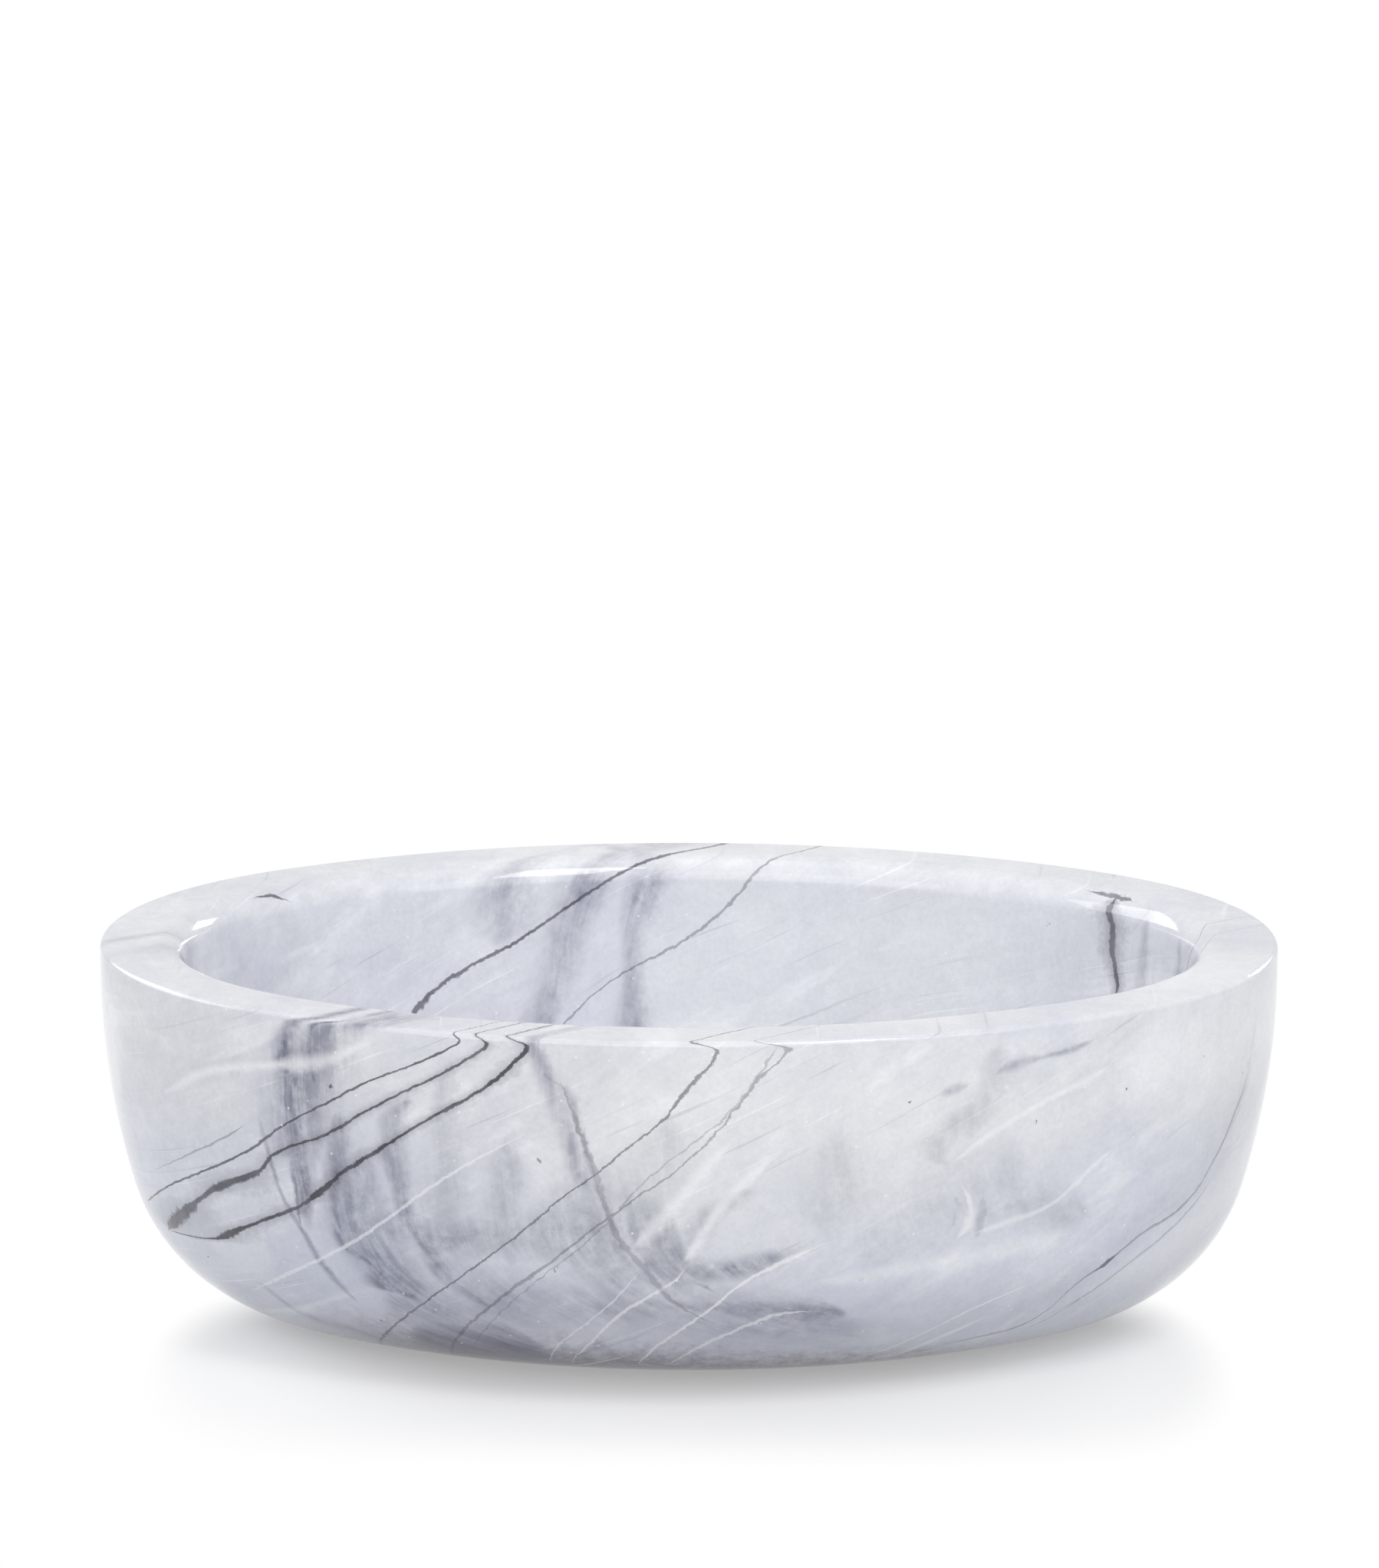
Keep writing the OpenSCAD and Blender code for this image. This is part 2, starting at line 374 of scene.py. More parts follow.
smudges = (
    {"lean": "left", "ink": 0.95,
     "line": ((38.8, -59), (42.2, -58.4), (44, -57.4), (45, -52)),
     "girth": ((36.6, 0), (39.4, 3), (43, 2.6), (45, 1.6))},
    {"lean": "left", "ink": 0.85,
     "line": ((36, -53.4), (38.8, -53.9), (42.2, -54.3), (44, -53.6), (45, -47)),
     "girth": ((35, 0), (40, 1.4), (43, 1.2), (45, 1.2))},
    {"lean": "left", "ink": 0.74,
     "line": ((26, -58), (34, -57), (40, -54), (44, -50), (45, -42)),
     "girth": ((24, 0), (30, 6), (38, 7.5), (45, 5))},
    {"lean": "left", "ink": 0.44, "outer": True,
     "line": ((18, -25.6), (24, -25), (34, -23)), "girth": ((15, 0), (22, 3), (29, 2.8), (35, 0))},
    {"lean": "left", "ink": 0.6, "outer": True,
     "line": ((14, -10), (18, -10.6), (23, -12)),
     "girth": ((12, 0), (17, 2.6), (21, 2.4), (25, 0))},
    {"lean": "left", "ink": 0.25,
     "line": ((24, -6), (34, -3), (40, 0)), "girth": ((22, 0), (30, 5), (39, 0))},
    {"lean": "left", "ink": 0.9,
     "line": ((18, -58.2), (21.2, -58.2), (23.9, -57.4), (30.8, -57.4), (37.1, -57)),
     "girth": ((17, 0), (21, 1.4), (27, 2.2), (34, 3.2), (37, 2.4), (38.8, 0))},
    {"lean": "left", "ink": 0.8,
     "line": ((18, -60), (21.2, -59.6), (23.9, -59.2), (30.8, -59.4), (37.1, -59)),
     "girth": ((18, 0), (21, 0.5), (34, 0.6), (37, 0.5), (38.2, 0))},
    {"lean": "left", "ink": 0.6,
     "line": ((10, -53.5), (14.2, -56.9), (18.7, -59.6), (22, -61.8), (28.3, -63.8), (33, -65)),
     "girth": ((9, 0), (13, 0.9), (18, 0.7), (24, 0.5), (30, 0.7), (34, 0))},
    {"lean": "left", "ink": 0.85,
     "line": ((9, -38), (12.3, -43.1), (12.8, -46.5), (15.9, -48.2), (17.2, -51.1), (19.4, -52.6),
              (23.4, -52.4), (27.8, -50.4), (31.2, -49.8), (34.5, -49.6)),
     "girth": ((8.5, 0), (11.4, 3.6), (14, 3.2), (16, 2), (19, 1.8), (24, 1.5), (28, 2.9),
               (33, 1.6), (36.5, 0))},
    {"lean": "left", "ink": 0.7,
     "line": ((8, -36), (12, -41), (16, -45.5), (20, -48.5), (26, -48), (32, -46)),
     "girth": ((6, 0), (10, 5), (18, 7), (26, 5), (34, 0))},
    {"lean": "left", "ink": 0.75,
     "line": ((11, -30), (15, -36), (19, -38), (22.1, -40.5), (24.4, -40.4), (29.7, -41),
              (34.3, -40.6), (36.6, -37.6)),
     "girth": ((10, 0), (14, 2.4), (18, 2.2), (24, 1.8), (31, 2.4), (35, 2.2), (38, 0))},
    {"lean": "left", "ink": 0.32, "outer": True,
     "line": ((16, -35), (24, -34), (32, -31)), "girth": ((13, 0), (20, 4), (27, 4), (34, 0))},
    {"lean": "left", "ink": 0.3,
     "line": ((24, -32), (30, -32.6), (38, -32), (44, -30)),
     "girth": ((22, 0), (28, 3), (36, 2.4), (42, 0.6), (45, 0))},
    {"lean": "left", "ink": 0.85, "level": True,
     "line": ((-58, 21), (-46, 21), (-36, 20), (-27, 21), (-17, 21.5), (-8, 20.4), (0, 18.6),
              (6, 18)),
     "girth": ((-60, 0), (-50, 2.4), (-36, 3), (-27, 2.8), (-17, 5.6), (-10, 8), (-6, 7.5),
               (-3, 3.4), (0, 0))},
    {"lean": "left", "ink": 0.46, "level": True,
     "line": ((-56, 9), (-42, 11), (-28, 13), (-14, 13), (0, 11), (16, 9)),
     "girth": ((-52, 0), (-42, 5), (-28, 4.5), (-16, 3.2), (-8, 4), (3, 4.4), (15, 0))},
    {"lean": "left", "ink": 0.95, "level": True,
     "line": ((-56, 4), (-44, 5.4), (-33, 6.3), (-22, 5)),
     "girth": ((-56, 0), (-46, 2.8), (-38, 4.4), (-32, 4.2), (-24, 0))},
    {"lean": "left", "ink": 0.5, "level": True,
     "line": ((-74, 10.5), (-71, 9), (-68, 6.2), (-60.6, 5.4), (-54, 3)),
     "girth": ((-76, 0), (-70, 1), (-60, 1), (-50, 0))},
    {"lean": "left", "ink": 0.6,
     "line": ((16.6, -4.4), (18.9, -10), (24.3, -12.4), (29.3, -13.8), (34.5, -15), (39.2, -16.6),
              (44.8, -19.6)),
     "girth": ((14, 0), (18, 2.6), (24, 2.2), (33, 1.6), (40, 1.8), (45, 1.2))},
    {"lean": "left", "ink": 0.75,
     "line": ((14, 0), (16.6, -3.6), (18.9, -8.6), (20.5, -10.1), (24.3, -11.2), (29.3, -12.4),
              (34.5, -13.4), (39.2, -15.1), (40.6, -17.4), (44.8, -18.6)),
     "girth": ((13, 0), (18, 0.9), (24, 0.7), (33, 0.6), (39, 0.9), (42, 0.3), (45, 0.3))},
    {"lean": "left", "ink": 0.8, "level": True,
     "line": ((-15, 19.6), (-10, 19), (-6.1, 18.4), (-3.2, 17.6), (0.3, 17.7), (5.4, 18.8),
              (11, 21)),
     "girth": ((-16, 0), (-11, 2.6), (-8, 1.8), (0, 1.5), (5, 1.2), (14, 0))},
    {"lean": "left", "ink": 0.6,
     "line": ((8, -1.5), (11.5, -5.5), (13.2, -6.7), (14.5, -7.7), (18.9, -9)),
     "girth": ((7, 0), (12, 1.4), (18, 1.4), (20, 0))},
    {"lean": "left", "ink": 0.75, "level": True,
     "line": ((-12, 13.8), (-5, 13), (1.4, 12.2), (6.5, 11.7), (12, 11.8)),
     "girth": ((-12, 0), (-8, 1.5), (-4, 1.2), (2, 1.9), (7, 2), (10, 0.8), (12, 0))},
    {"lean": "left", "ink": 0.24, "outer": True,
     "line": ((20, 12), (28, 13.4), (36, 15)),
     "girth": ((17, 0), (22, 1.6), (27, 4.4), (31, 3), (34, 1.2), (38, 0))},
    {"lean": "left", "ink": 0.36, "outer": True,
     "line": ((20, -3), (24, 0), (28, 6)), "girth": ((19, 0), (23, 2), (26, 2), (29, 0))},
    {"lean": "right", "ink": 0.45,
     "line": ((20, 86), (25.7, 93.2), (31.3, 98.7), (37, 101), (42, 102.5)),
     "girth": ((18, 0), (25, 1), (31, 1.7), (37, 1.1), (42, 0))},
    {"lean": "right", "ink": 0.6, "level": True,
     "line": ((30, 36.8), (34.5, 38), (40.5, 39.2), (44.7, 40.3), (50.9, 40.9), (55.1, 41.3),
              (61, 42.3)),
     "girth": ((30, 0), (33, 0.3), (35.5, 0.7), (38, 0.15), (42, 0.4), (45, 0.9), (50, 0.3),
               (55, 0.5), (61, 0))},
    {"lean": "right", "ink": 0.32, "outer": True,
     "line": ((28, 37), (31, 33), (35, 37), (38, 40)),
     "girth": ((27, 0), (30, 2), (34, 3.4), (38, 0))},
    {"lean": "right", "ink": 0.3, "outer": True,
     "line": ((32, 38), (38, 41), (42, 42)), "girth": ((30, 0), (36, 3), (41, 2.4), (44, 0))},
    {"lean": "right", "ink": 0.46, "outer": True,
     "line": ((19, 41.6), (23, 42), (27, 41.6)), "girth": ((18.6, 0), (22.6, 1.5), (27, 0))},
    {"lean": "right", "ink": 0.5, "outer": True,
     "line": ((21, 37.4), (23.7, 37.8), (26, 36.6)), "girth": ((20, 0), (23.7, 1), (26.4, 0))},
    {"lean": "right", "ink": 0.3, "level": True,
     "line": ((18, 19), (26, 21), (36, 24.6), (50, 28)),
     "girth": ((16, 0), (26, 3.6), (36, 6), (46, 4), (54, 0))},
    {"lean": "right", "ink": 0.12, "level": True,
     "line": ((48, 7), (62, 12), (72, 18), (84, 21), (94, 29), (100, 35)),
     "girth": ((46, 0), (58, 3), (70, 3), (84, 4), (94, 5), (100, 4), (104, 0))},
    {"lean": "right", "ink": 0.3, "level": True,
     "line": ((36, 24.5), (44, 24), (56, 22), (66, 20)),
     "girth": ((33, 0), (42, 3.6), (54, 3.6), (66, 0))},
)

whiteVeinsAndPaintedHighlights = (
    # painted highlight: a broad soft white patch on the left end and its lip
    {"lean": "left", "ink": 0.6, "soft": True, "level": True,
     "line": ((-136, 34), (-118, 32), (-100, 36)), "girth": ((-140, 0), (-120, 12), (-96, 0))},
    {"lean": "left", "ink": 0.6, "soft": True, "level": True,
     "line": ((-90, 31.5), (-87.5, 32.2), (-72.2, 37), (-60.4, 38.7), (-52.1, 39.9), (-45.4, 42.2),
              (-39.2, 44.1)),
     "girth": ((-92, 0), (-80, 0.7), (-62, 0.55), (-56, 1.1), (-48, 0.7), (-38, 0))},
    {"lean": "left", "ink": 0.55, "level": True,
     "line": ((-76, 9), (-68.6, 11.5), (-51.4, 18), (-43.7, 21.8), (-34.9, 26.7), (-28.1, 30.2),
              (-19.2, 34.3)),
     "girth": ((-78, 0), (-68, 0.24), (-50, 0.24), (-30, 0.18), (-16, 0))},
    {"lean": "left", "ink": 0.6, "level": True,
     "line": ((-28, 3.6), (-21.4, 6.9), (-13.5, 11.8), (-4.3, 17), (-2.4, 20.1), (2.1, 24.8),
              (8, 29.3)),
     "girth": ((-30, 0), (-20, 0.14), (-6, 0.19), (-2.6, 0))},
    {"lean": "left", "ink": 0.5, "level": True,
     "line": ((-32, 3), (-26.6, 6.1), (-14.7, 12.7), (-9.5, 16.9)),
     "girth": ((-34, 0), (-26, 0.1), (-12, 0.1), (-8, 0))},
    {"lean": "left", "ink": 0.66, "level": True,
     "line": ((-20, 3.2), (-12.4, 7.2), (-2.9, 12.4), (3.5, 16.8), (6.5, 18.3), (11.9, 20.8)),
     "girth": ((-21, 0), (-12, 0.15), (3, 0.19), (7, 0.28), (13, 0))},
    {"lean": "left", "ink": 0.55, "level": True,
     "line": ((-18, 3), (-16.4, 3.5), (-3.9, 8.7), (1.7, 10.9), (4.8, 11.9), (6.7, 12)),
     "girth": ((-19, 0), (-6, 0.15), (4, 0.19), (8, 0))},
    {"lean": "left", "ink": 0.6, "soft": True, "level": True,
     "line": ((-9, 20.4), (-4.6, 24), (-1, 27.7), (4.2, 33.2)),
     "girth": ((-10, 0), (-6, 1.3), (1, 1.2), (6, 0))},
    {"lean": "left", "ink": 0.6, "soft": True, "level": True,
     "line": ((-4, 18.4), (-3, 19.2), (2.4, 25.8), (8.8, 31.7)),
     "girth": ((-4.6, 0), (-1, 1), (5, 1), (10, 0))},
    {"lean": "right", "ink": 0.36, "soft": True, "level": True,
     "line": ((6, 15.3), (12.9, 15.7), (21.8, 16), (33.7, 16.9), (45.7, 17.8), (59.2, 18.8)),
     "girth": ((16, 0), (25, 1), (36, 1.3), (50, 1.3), (62, 0))},
    # painted highlight: a soft white patch low on the right end, along its lit edge
    {"lean": "right", "ink": 0.5, "soft": True, "level": True,
     "line": ((60, 10), (84, 14), (104, 21)),
     "girth": ((56, 0), (76, 3.6), (92, 5), (101, 6), (106, 4))},
    {"lean": "right", "ink": 0.7, "level": True,
     "line": ((33, 3), (36.2, 4.6), (40, 7.3), (45.9, 10.6), (53.6, 12.9)),
     "girth": ((33, 0), (38, 0.14), (50, 0.12), (56, 0))},
    {"lean": "right", "ink": 0.5, "soft": True, "level": True,
     "line": ((35, 29), (41.1, 32.2), (46, 34.1), (52.6, 36.2), (59.6, 37.8), (63, 39)),
     "girth": ((34, 0), (40, 0.55), (50, 0.4), (58, 0.6), (64, 0))},
    {"lean": "right", "ink": 0.5, "soft": True, "level": True,
     "line": ((40, 20.2), (47.2, 21.5), (52.4, 22.4), (57.4, 24.7), (61.2, 27.1), (64.7, 28.6)),
     "girth": ((39, 0), (46, 0.5), (54, 0.35), (60, 0.5), (66, 0))},
    {"lean": "right", "ink": 0.6, "soft": True, "outer": True,
     "line": ((19.6, 38.4), (20.5, 39.2), (22.1, 40.2), (25, 39.3), (27.5, 36.9)),
     "girth": ((19.4, 0), (21.4, 0.9), (25, 0.5), (28.5, 0))},
    # painted highlight: a broad soft white patch high on the right end
    {"lean": "right", "ink": 0.62, "soft": True, "level": True,
     "line": ((50, 36), (70, 37.5), (96, 38), (120, 38)),
     "girth": ((48, 0), (70, 6), (94, 10), (120, 4))},
    {"lean": "left", "ink": 0.3, "soft": True, "level": True,
     "line": ((-84, 14), (-66, 15)), "girth": ((-86, 0), (-74, 6), (-64, 0))},
    {"lean": "right", "ink": 0.32, "level": True,
     "line": ((39, 4), (44.1, 5.9), (47.6, 8.4), (52, 9.2)),
     "girth": ((38, 0), (44, 0.1), (54, 0))},
)

# veins of the back and the ends, which start where the front's leave off
backVeins = (
    {"lean": "left", "ink": 0.8,
     "line": ((0, -150), (12, -138), (22, -125), (32, -119), (45, -101)),
     "girth": ((0, 0.5), (10, 0.4), (14, 0.9), (17, 0.4), (30, 0.35), (45, 0.5))},
    {"lean": "left", "ink": 0.5,
     "line": ((0, -128), (10, -117), (25, -107), (36, -93), (45, -87)),
     "girth": ((0, 0.3), (25, 0.22), (45, 0.3))},
    {"lean": "left", "ink": 0.4, "level": True,
     "line": ((-150, 28), (-120, 35), (-95, 32), (-60, 39), (-30, 43)),
     "girth": ((-150, 0.12), (-122, 0.14), (-108, 0))},
    {"lean": "right", "ink": 0.55, "level": True,
     "line": ((84, 4), (105, 15), (122, 21), (138, 33), (150, 41)),
     "girth": ((84, 0), (100, 0.2), (126, 0.14), (150, 0.2))},
    {"lean": "left", "ink": 0.85, "halo": 0.4,
     "line": ((8, -32), (15, -28), (30, -25.3), (33, -24.8), (38, -27.5), (41, -28), (43, -29.4),
              (45, -29)),
     "girth": ((8, 0), (15, 0.4), (24, 0.6), (31, 0.4), (38, 0.8), (42.6, 0.9), (43.8, 0.3),
               (44.6, 0))},
    {"lean": "left", "ink": 0.7, "level": True,
     "line": ((-37, 44.3), (-25, 44.3)), "girth": ((-36, 0), (-31, 0.22), (-27, 0.2), (-25.5, 0))},
    {"lean": "right", "ink": 0.8, "level": True,
     "line": ((19, 44.2), (23.5, 44.1), (26, 43.5), (29, 42.5)),
     "girth": ((20, 0), (22, 0.12), (24, 0.16), (26, 0.12), (28, 0))},
)

backSmudgesAndPaintedShade = (
    {"lean": "left", "ink": 0.7,
     "line": ((0, -120), (20, -112), (45, -108)), "girth": ((0, 4), (20, 2), (45, 4))},
    {"lean": "right", "ink": 0.7,
     "line": ((0, 84), (20, 92), (45, 96)), "girth": ((0, 2), (18, 4), (32, 1.5), (45, 3))},
    {"lean": "left", "ink": 0.45,
     "line": ((24, -16.5), (45, -19)), "girth": ((20, 0), (30, 2.4), (42, 1.2), (44, 0))},
    {"lean": "left", "ink": 0.5,
     "line": ((28, -2), (45, -5)), "girth": ((26, 0), (36, 2.6), (42, 1.2), (44, 0))},
    # painted shade: a dark smudge on the tight inner wall at the left end
    {"lean": "left", "ink": 0.5,
     "line": ((34, -117), (44, -119)), "girth": ((32, 0), (39, 3.4), (45, 2))},
    {"lean": "left", "ink": 0.5, "level": True,
     "line": ((-150, 22), (-100, 26), (-40, 30), (20, 24)),
     "girth": ((-150, 2), (-90, 5), (-30, 2), (30, 0))},
)


def curveNode(tree, value, spots, span, reach, onward="HORIZONTAL"):    # both ways as 0 to 1
    lookup = place(tree, "ShaderNodeFloatCurve")
    spots = [((at - span[0]) / (span[1] - span[0]), (to - reach[0]) / (reach[1] - reach[0]))
             for at, to in spots]
    points = lookup.mapping.curves[0].points
    points[0].location = spots[0]
    points[-1].location = spots[-1]
    for spot in spots[1:-1]:
        points.new(*spot)
    for point in points:
        point.handle_type = "AUTO_CLAMPED"
    lookup.mapping.use_clip = False
    lookup.mapping.extend = onward
    lookup.mapping.update()
    tree.links.new(value, lookup.inputs["Value"])
    return lookup.outputs[0]


def lineMask(tree, driver, other, look, span, reach, fray):
    middle = curveNode(tree, driver, look["line"], span, reach, "EXTRAPOLATED")
    girths = look["girth"]
    run = lineEdge["runOut"] * (span[1] - span[0])    # so that both ends read exactly
    girths = ((girths[0][0] - run, girths[0][1]), *girths, (girths[-1][0] + run, girths[-1][1]))
    girth = curveNode(tree, driver, girths, span, (0, girthMost))
    off = calc(tree, "ABSOLUTE", calc(tree, "SUBTRACT", other, middle))
    ratio = calc(tree, "DIVIDE", off, calc(tree, "MAXIMUM", girth, lineEdge["least"]))
    soft = look.get("soft", False)
    if not soft:
        ratio = calc(tree, "MULTIPLY", ratio, fray)
    scale = girthMost / (reach[1] - reach[0])    # a ratio of 1 in these units is the girth itself
    start, end = lineEdge["soft" if soft else "crisp"]
    mask = steps(tree, ratio, scale * start, scale * end, reads=(look["ink"], 0))
    if soft:    # a soft end fades out instead of running to a point
        peak = max(wide for at, wide in look["girth"]) / girthMost
        return calc(tree, "MULTIPLY", mask, steps(tree, girth, 0, lineEdge["softEnd"] * peak))
    if "halo" not in look:
        return mask
    halo = steps(tree, ratio, scale * lineEdge["halo"], scale, "LINEAR")
    return calc(tree, "MAXIMUM", mask, calc(tree, "MULTIPLY", halo, look["halo"]))


def steps(tree, value, low, high, kind="SMOOTHSTEP", reads=(0, 1)):    # what low and high turn to
    made = place(tree, "ShaderNodeMapRange", interpolation_type=kind)
    feed(tree, made.inputs, value, low, high, *reads)
    return made.outputs["Result"]


def noiseNode(tree, vector, *form):    # form: scale, detail, roughness and distortion, or fewer
    made = place(tree, "ShaderNodeTexNoise")
    tree.links.new(vector, made.inputs["Vector"])
    for name, value in zip(("Scale", "Detail", "Roughness", "Distortion"), form):
        made.inputs[name].default_value = value
    return made.outputs["Fac"]


def inMillimetres(tree):    # the object's own coordinates
    where = place(tree, "ShaderNodeTexCoord")
    scaled = place(tree, "ShaderNodeMapping")
    scaled.inputs["Scale"].default_value = (1 / mm, 1 / mm, 1 / mm)
    tree.links.new(where.outputs["Object"], scaled.inputs["Vector"])
    return scaled.outputs[0]


def joined(tree, *values):
    made = place(tree, "ShaderNodeCombineXYZ")
    feed(tree, made.inputs, *values)
    return made.outputs[0]


def axesOf(tree, vector):    # its x, y and z
    split = place(tree, "ShaderNodeSeparateXYZ")
    feed(tree, split.inputs, vector)
    return split.outputs


def stretched(tree, scales, *values):    # where to look a noise up that is drawn out
    return joined(tree, *(calc(tree, "MULTIPLY", value, scale)
                          for value, scale in zip(values, scales)))


def centred(tree, value):    # from 0 to 1 to half of it each way
    return calc(tree, "SUBTRACT", value, 0.5)


def noise(tree, field, name, where=None):    # a noise of the stone, in the block unless told where
    return noiseNode(tree, field["point"] if where is None else where, *stoneNoise[name])


def ramp(tree, name, value, kind="SMOOTHSTEP"):
    return steps(tree, value, *stoneRamps[name], kind)


def axisFields(tree, field):    # places in the block, and across its beds as shares of the reach
    point = inMillimetres(tree)
    field["point"] = point
    field["x"], field["y"], field["z"] = axesOf(tree, point)
    field["depth"] = ramp(tree, "depth", field["y"])    # the beds wander towards the back
    wander = calc(tree, "MULTIPLY", centred(tree, noise(tree, field, "wander")), field["depth"])
    wander = calc(tree, "MULTIPLY", wander, stoneForm["wander"])
    field["xWander"] = calc(tree, "ADD", field["x"], wander)
    inward = calc(tree, "ADD", field["y"], bowlShape["halfWidth"])
    field["leaning"] = calc(tree, "SUBTRACT", field["xWander"], inward)
    leans = {"left": field["leaning"], "right": calc(tree, "ADD", field["xWander"], inward)}

    rough = centred(tree, noise(tree, field, "rough"))
    wide = reachAcross[1] - reachAcross[0]
    for name, across in leans.items():
        field[name] = calc(tree, "DIVIDE", calc(tree, "SUBTRACT", across, reachAcross[0]), wide)
        field[name + "Rough"] = calc(tree, "MULTIPLY_ADD", rough, stoneForm["roughAcross"] / wide,
                                     field[name])
    field["height"] = calc(tree, "DIVIDE", field["z"], reachUp[1])
    field["heightRough"] = calc(tree, "MULTIPLY_ADD", rough, stoneForm["roughUp"] / reachUp[1],
                                field["height"])
    field["deep"] = calc(tree, "ADD", field["x"], field["y"])


def bedFields(tree, field):    # clouds and chalky streaks run along the beds
    slope = calc(tree, "MULTIPLY_ADD", field["xWander"], stoneForm["tilt"], field["z"])
    bed = stretched(tree, stoneForm["bed"], field["xWander"], slope, field["deep"])
    cloud = ramp(tree, "cloud", noise(tree, field, "cloud", bed), "LINEAR")
    mottle = ramp(tree, "mottle", noise(tree, field, "mottle"), "LINEAR")
    field["cloud"] = calc(tree, "MULTIPLY_ADD", mottle, stoneForm["mottle"],
                          calc(tree, "MULTIPLY", cloud, 1 - stoneForm["mottle"]))
    field["cool"] = ramp(tree, "cool", noise(tree, field, "cool"))
    field["fine"] = noise(tree, field, "fine", bed)
    broad = ramp(tree, "broad", noise(tree, field, "broad", bed))
    comb = stretched(tree, stoneForm["comb"], field["xWander"], slope, field["deep"])
    combed = noise(tree, field, "comb", comb)
    field["chalkStreaks"] = calc(tree, "MAXIMUM", calc(tree, "MULTIPLY", broad, stoneForm["broad"]),
                                 ramp(tree, "chalkHairs", combed))
    field["darkHairs"] = ramp(tree, "darkHairs", combed)


def brushFields(tree, field):    # smudges look brushed on, nearly upright, and turn along the foot
    under = calc(tree, "MAXIMUM", calc(tree, "SUBTRACT", stoneForm["bendHeight"], field["z"]), 0)
    bent = calc(tree, "MULTIPLY_ADD", calc(tree, "MULTIPLY", under, under), stoneForm["bend"],
                field["leaning"])
    upright = stretched(tree, stoneForm["upright"], bent, field["z"], field["deep"])
    brush = ramp(tree, "brush", noise(tree, field, "brush", upright), "LINEAR")
    field["crumbs"] = ramp(tree, "crumbs", noise(tree, field, "crumbs"), "LINEAR")
    patches = ramp(tree, "patches", noise(tree, field, "patches"), "LINEAR")
    worked = calc(tree, "MULTIPLY", calc(tree, "ADD", brush, field["crumbs"]), stoneForm["worked"])
    field["streaks"] = calc(tree, "MULTIPLY", worked, calc(
        tree, "MULTIPLY_ADD", patches, *stoneForm["patchy"]), clamp=True)


def zoneFields(tree, field):    # a whiter middle of the front, lilac and darker towards the bottom, and painted shade along the foot
    def farFrom(value, middle, spread):    # squared, in spreads
        off = calc(tree, "DIVIDE", calc(tree, "SUBTRACT", value, middle), spread)
        return calc(tree, "POWER", off, 2)

    x, y, z = field["x"], field["y"], field["z"]
    glow = calc(tree, "ADD", farFrom(x, *stoneForm["glowAlong"]), farFrom(z, *stoneForm["glowUp"]))
    glow = calc(tree, "MULTIPLY_ADD", field["fine"], stoneForm["glowRag"], glow)
    field["glow"] = ramp(tree, "glow", glow)
    ragged = calc(tree, "MULTIPLY_ADD", centred(tree, field["fine"]), stoneForm["lowRag"], z)
    field["low"] = calc(tree, "MULTIPLY", ramp(tree, "low", ragged), calc(
        tree, "MULTIPLY_ADD", ramp(tree, "lowAlong", x), *stoneForm["lowEnd"]))
    field["blue"] = calc(tree, "MULTIPLY", ramp(tree, "blueAlong", calc(tree, "ABSOLUTE", x)),
                         ramp(tree, "blueUp", z))
    # painted shade: a ragged dark plum band low on the front of the wall, where it faces the
    # shadowed floor
    ragged = calc(tree, "MULTIPLY_ADD", centred(tree, field["crumbs"]), stoneForm["footRag"], z)
    ragged = calc(tree, "MULTIPLY_ADD", x, stoneForm["footSlant"], ragged)    # higher on the left
    along = calc(tree, "ABSOLUTE", calc(tree, "SUBTRACT", x, stoneForm["footMiddle"]))
    field["foot"] = calc(tree, "MULTIPLY", ramp(tree, "foot", ragged),
                         ramp(tree, "footAlong", along))
    field["behind"] = ramp(tree, "behind", y)
    field["front"] = ramp(tree, "front", y)
    fadeMost = calc(tree, "MULTIPLY_ADD", ramp(tree, "fadeAlong", x), *stoneForm["fade"])
    field["fade"] = calc(tree, "MULTIPLY_ADD", field["depth"], fadeMost, 1)


def wallFields(tree, field):    # what is on the outer wall, in the hollow or under the base
    oval = place(tree, "ShaderNodeVectorMath", operation="LENGTH")
    tree.links.new(joined(tree, calc(tree, "DIVIDE", field["x"], bowlShape["halfLength"]),
                          calc(tree, "DIVIDE", field["y"], bowlShape["halfWidth"]), 0),
                   oval.inputs[0])
    out = oval.outputs["Value"]
    midway = curveNode(tree, field["height"], wallMiddle, reachUp, (0, 1))
    outside = ramp(tree, "outside", calc(tree, "SUBTRACT", out, midway))
    # off the hollow, where lines along a height would ring round
    field["skin"] = calc(tree, "MAXIMUM", outside, ramp(tree, "lip", field["z"]))
    offBase = calc(tree, "MULTIPLY", ramp(tree, "offBase", out), outside)    # the painted foot shade stays off the base, which stays paler
    field["foot"] = calc(tree, "MULTIPLY", field["foot"], offBase)
    field["blue"] = calc(tree, "MULTIPLY", field["blue"], calc(
        tree, "MULTIPLY_ADD", outside, *stoneForm["blueOutside"]))


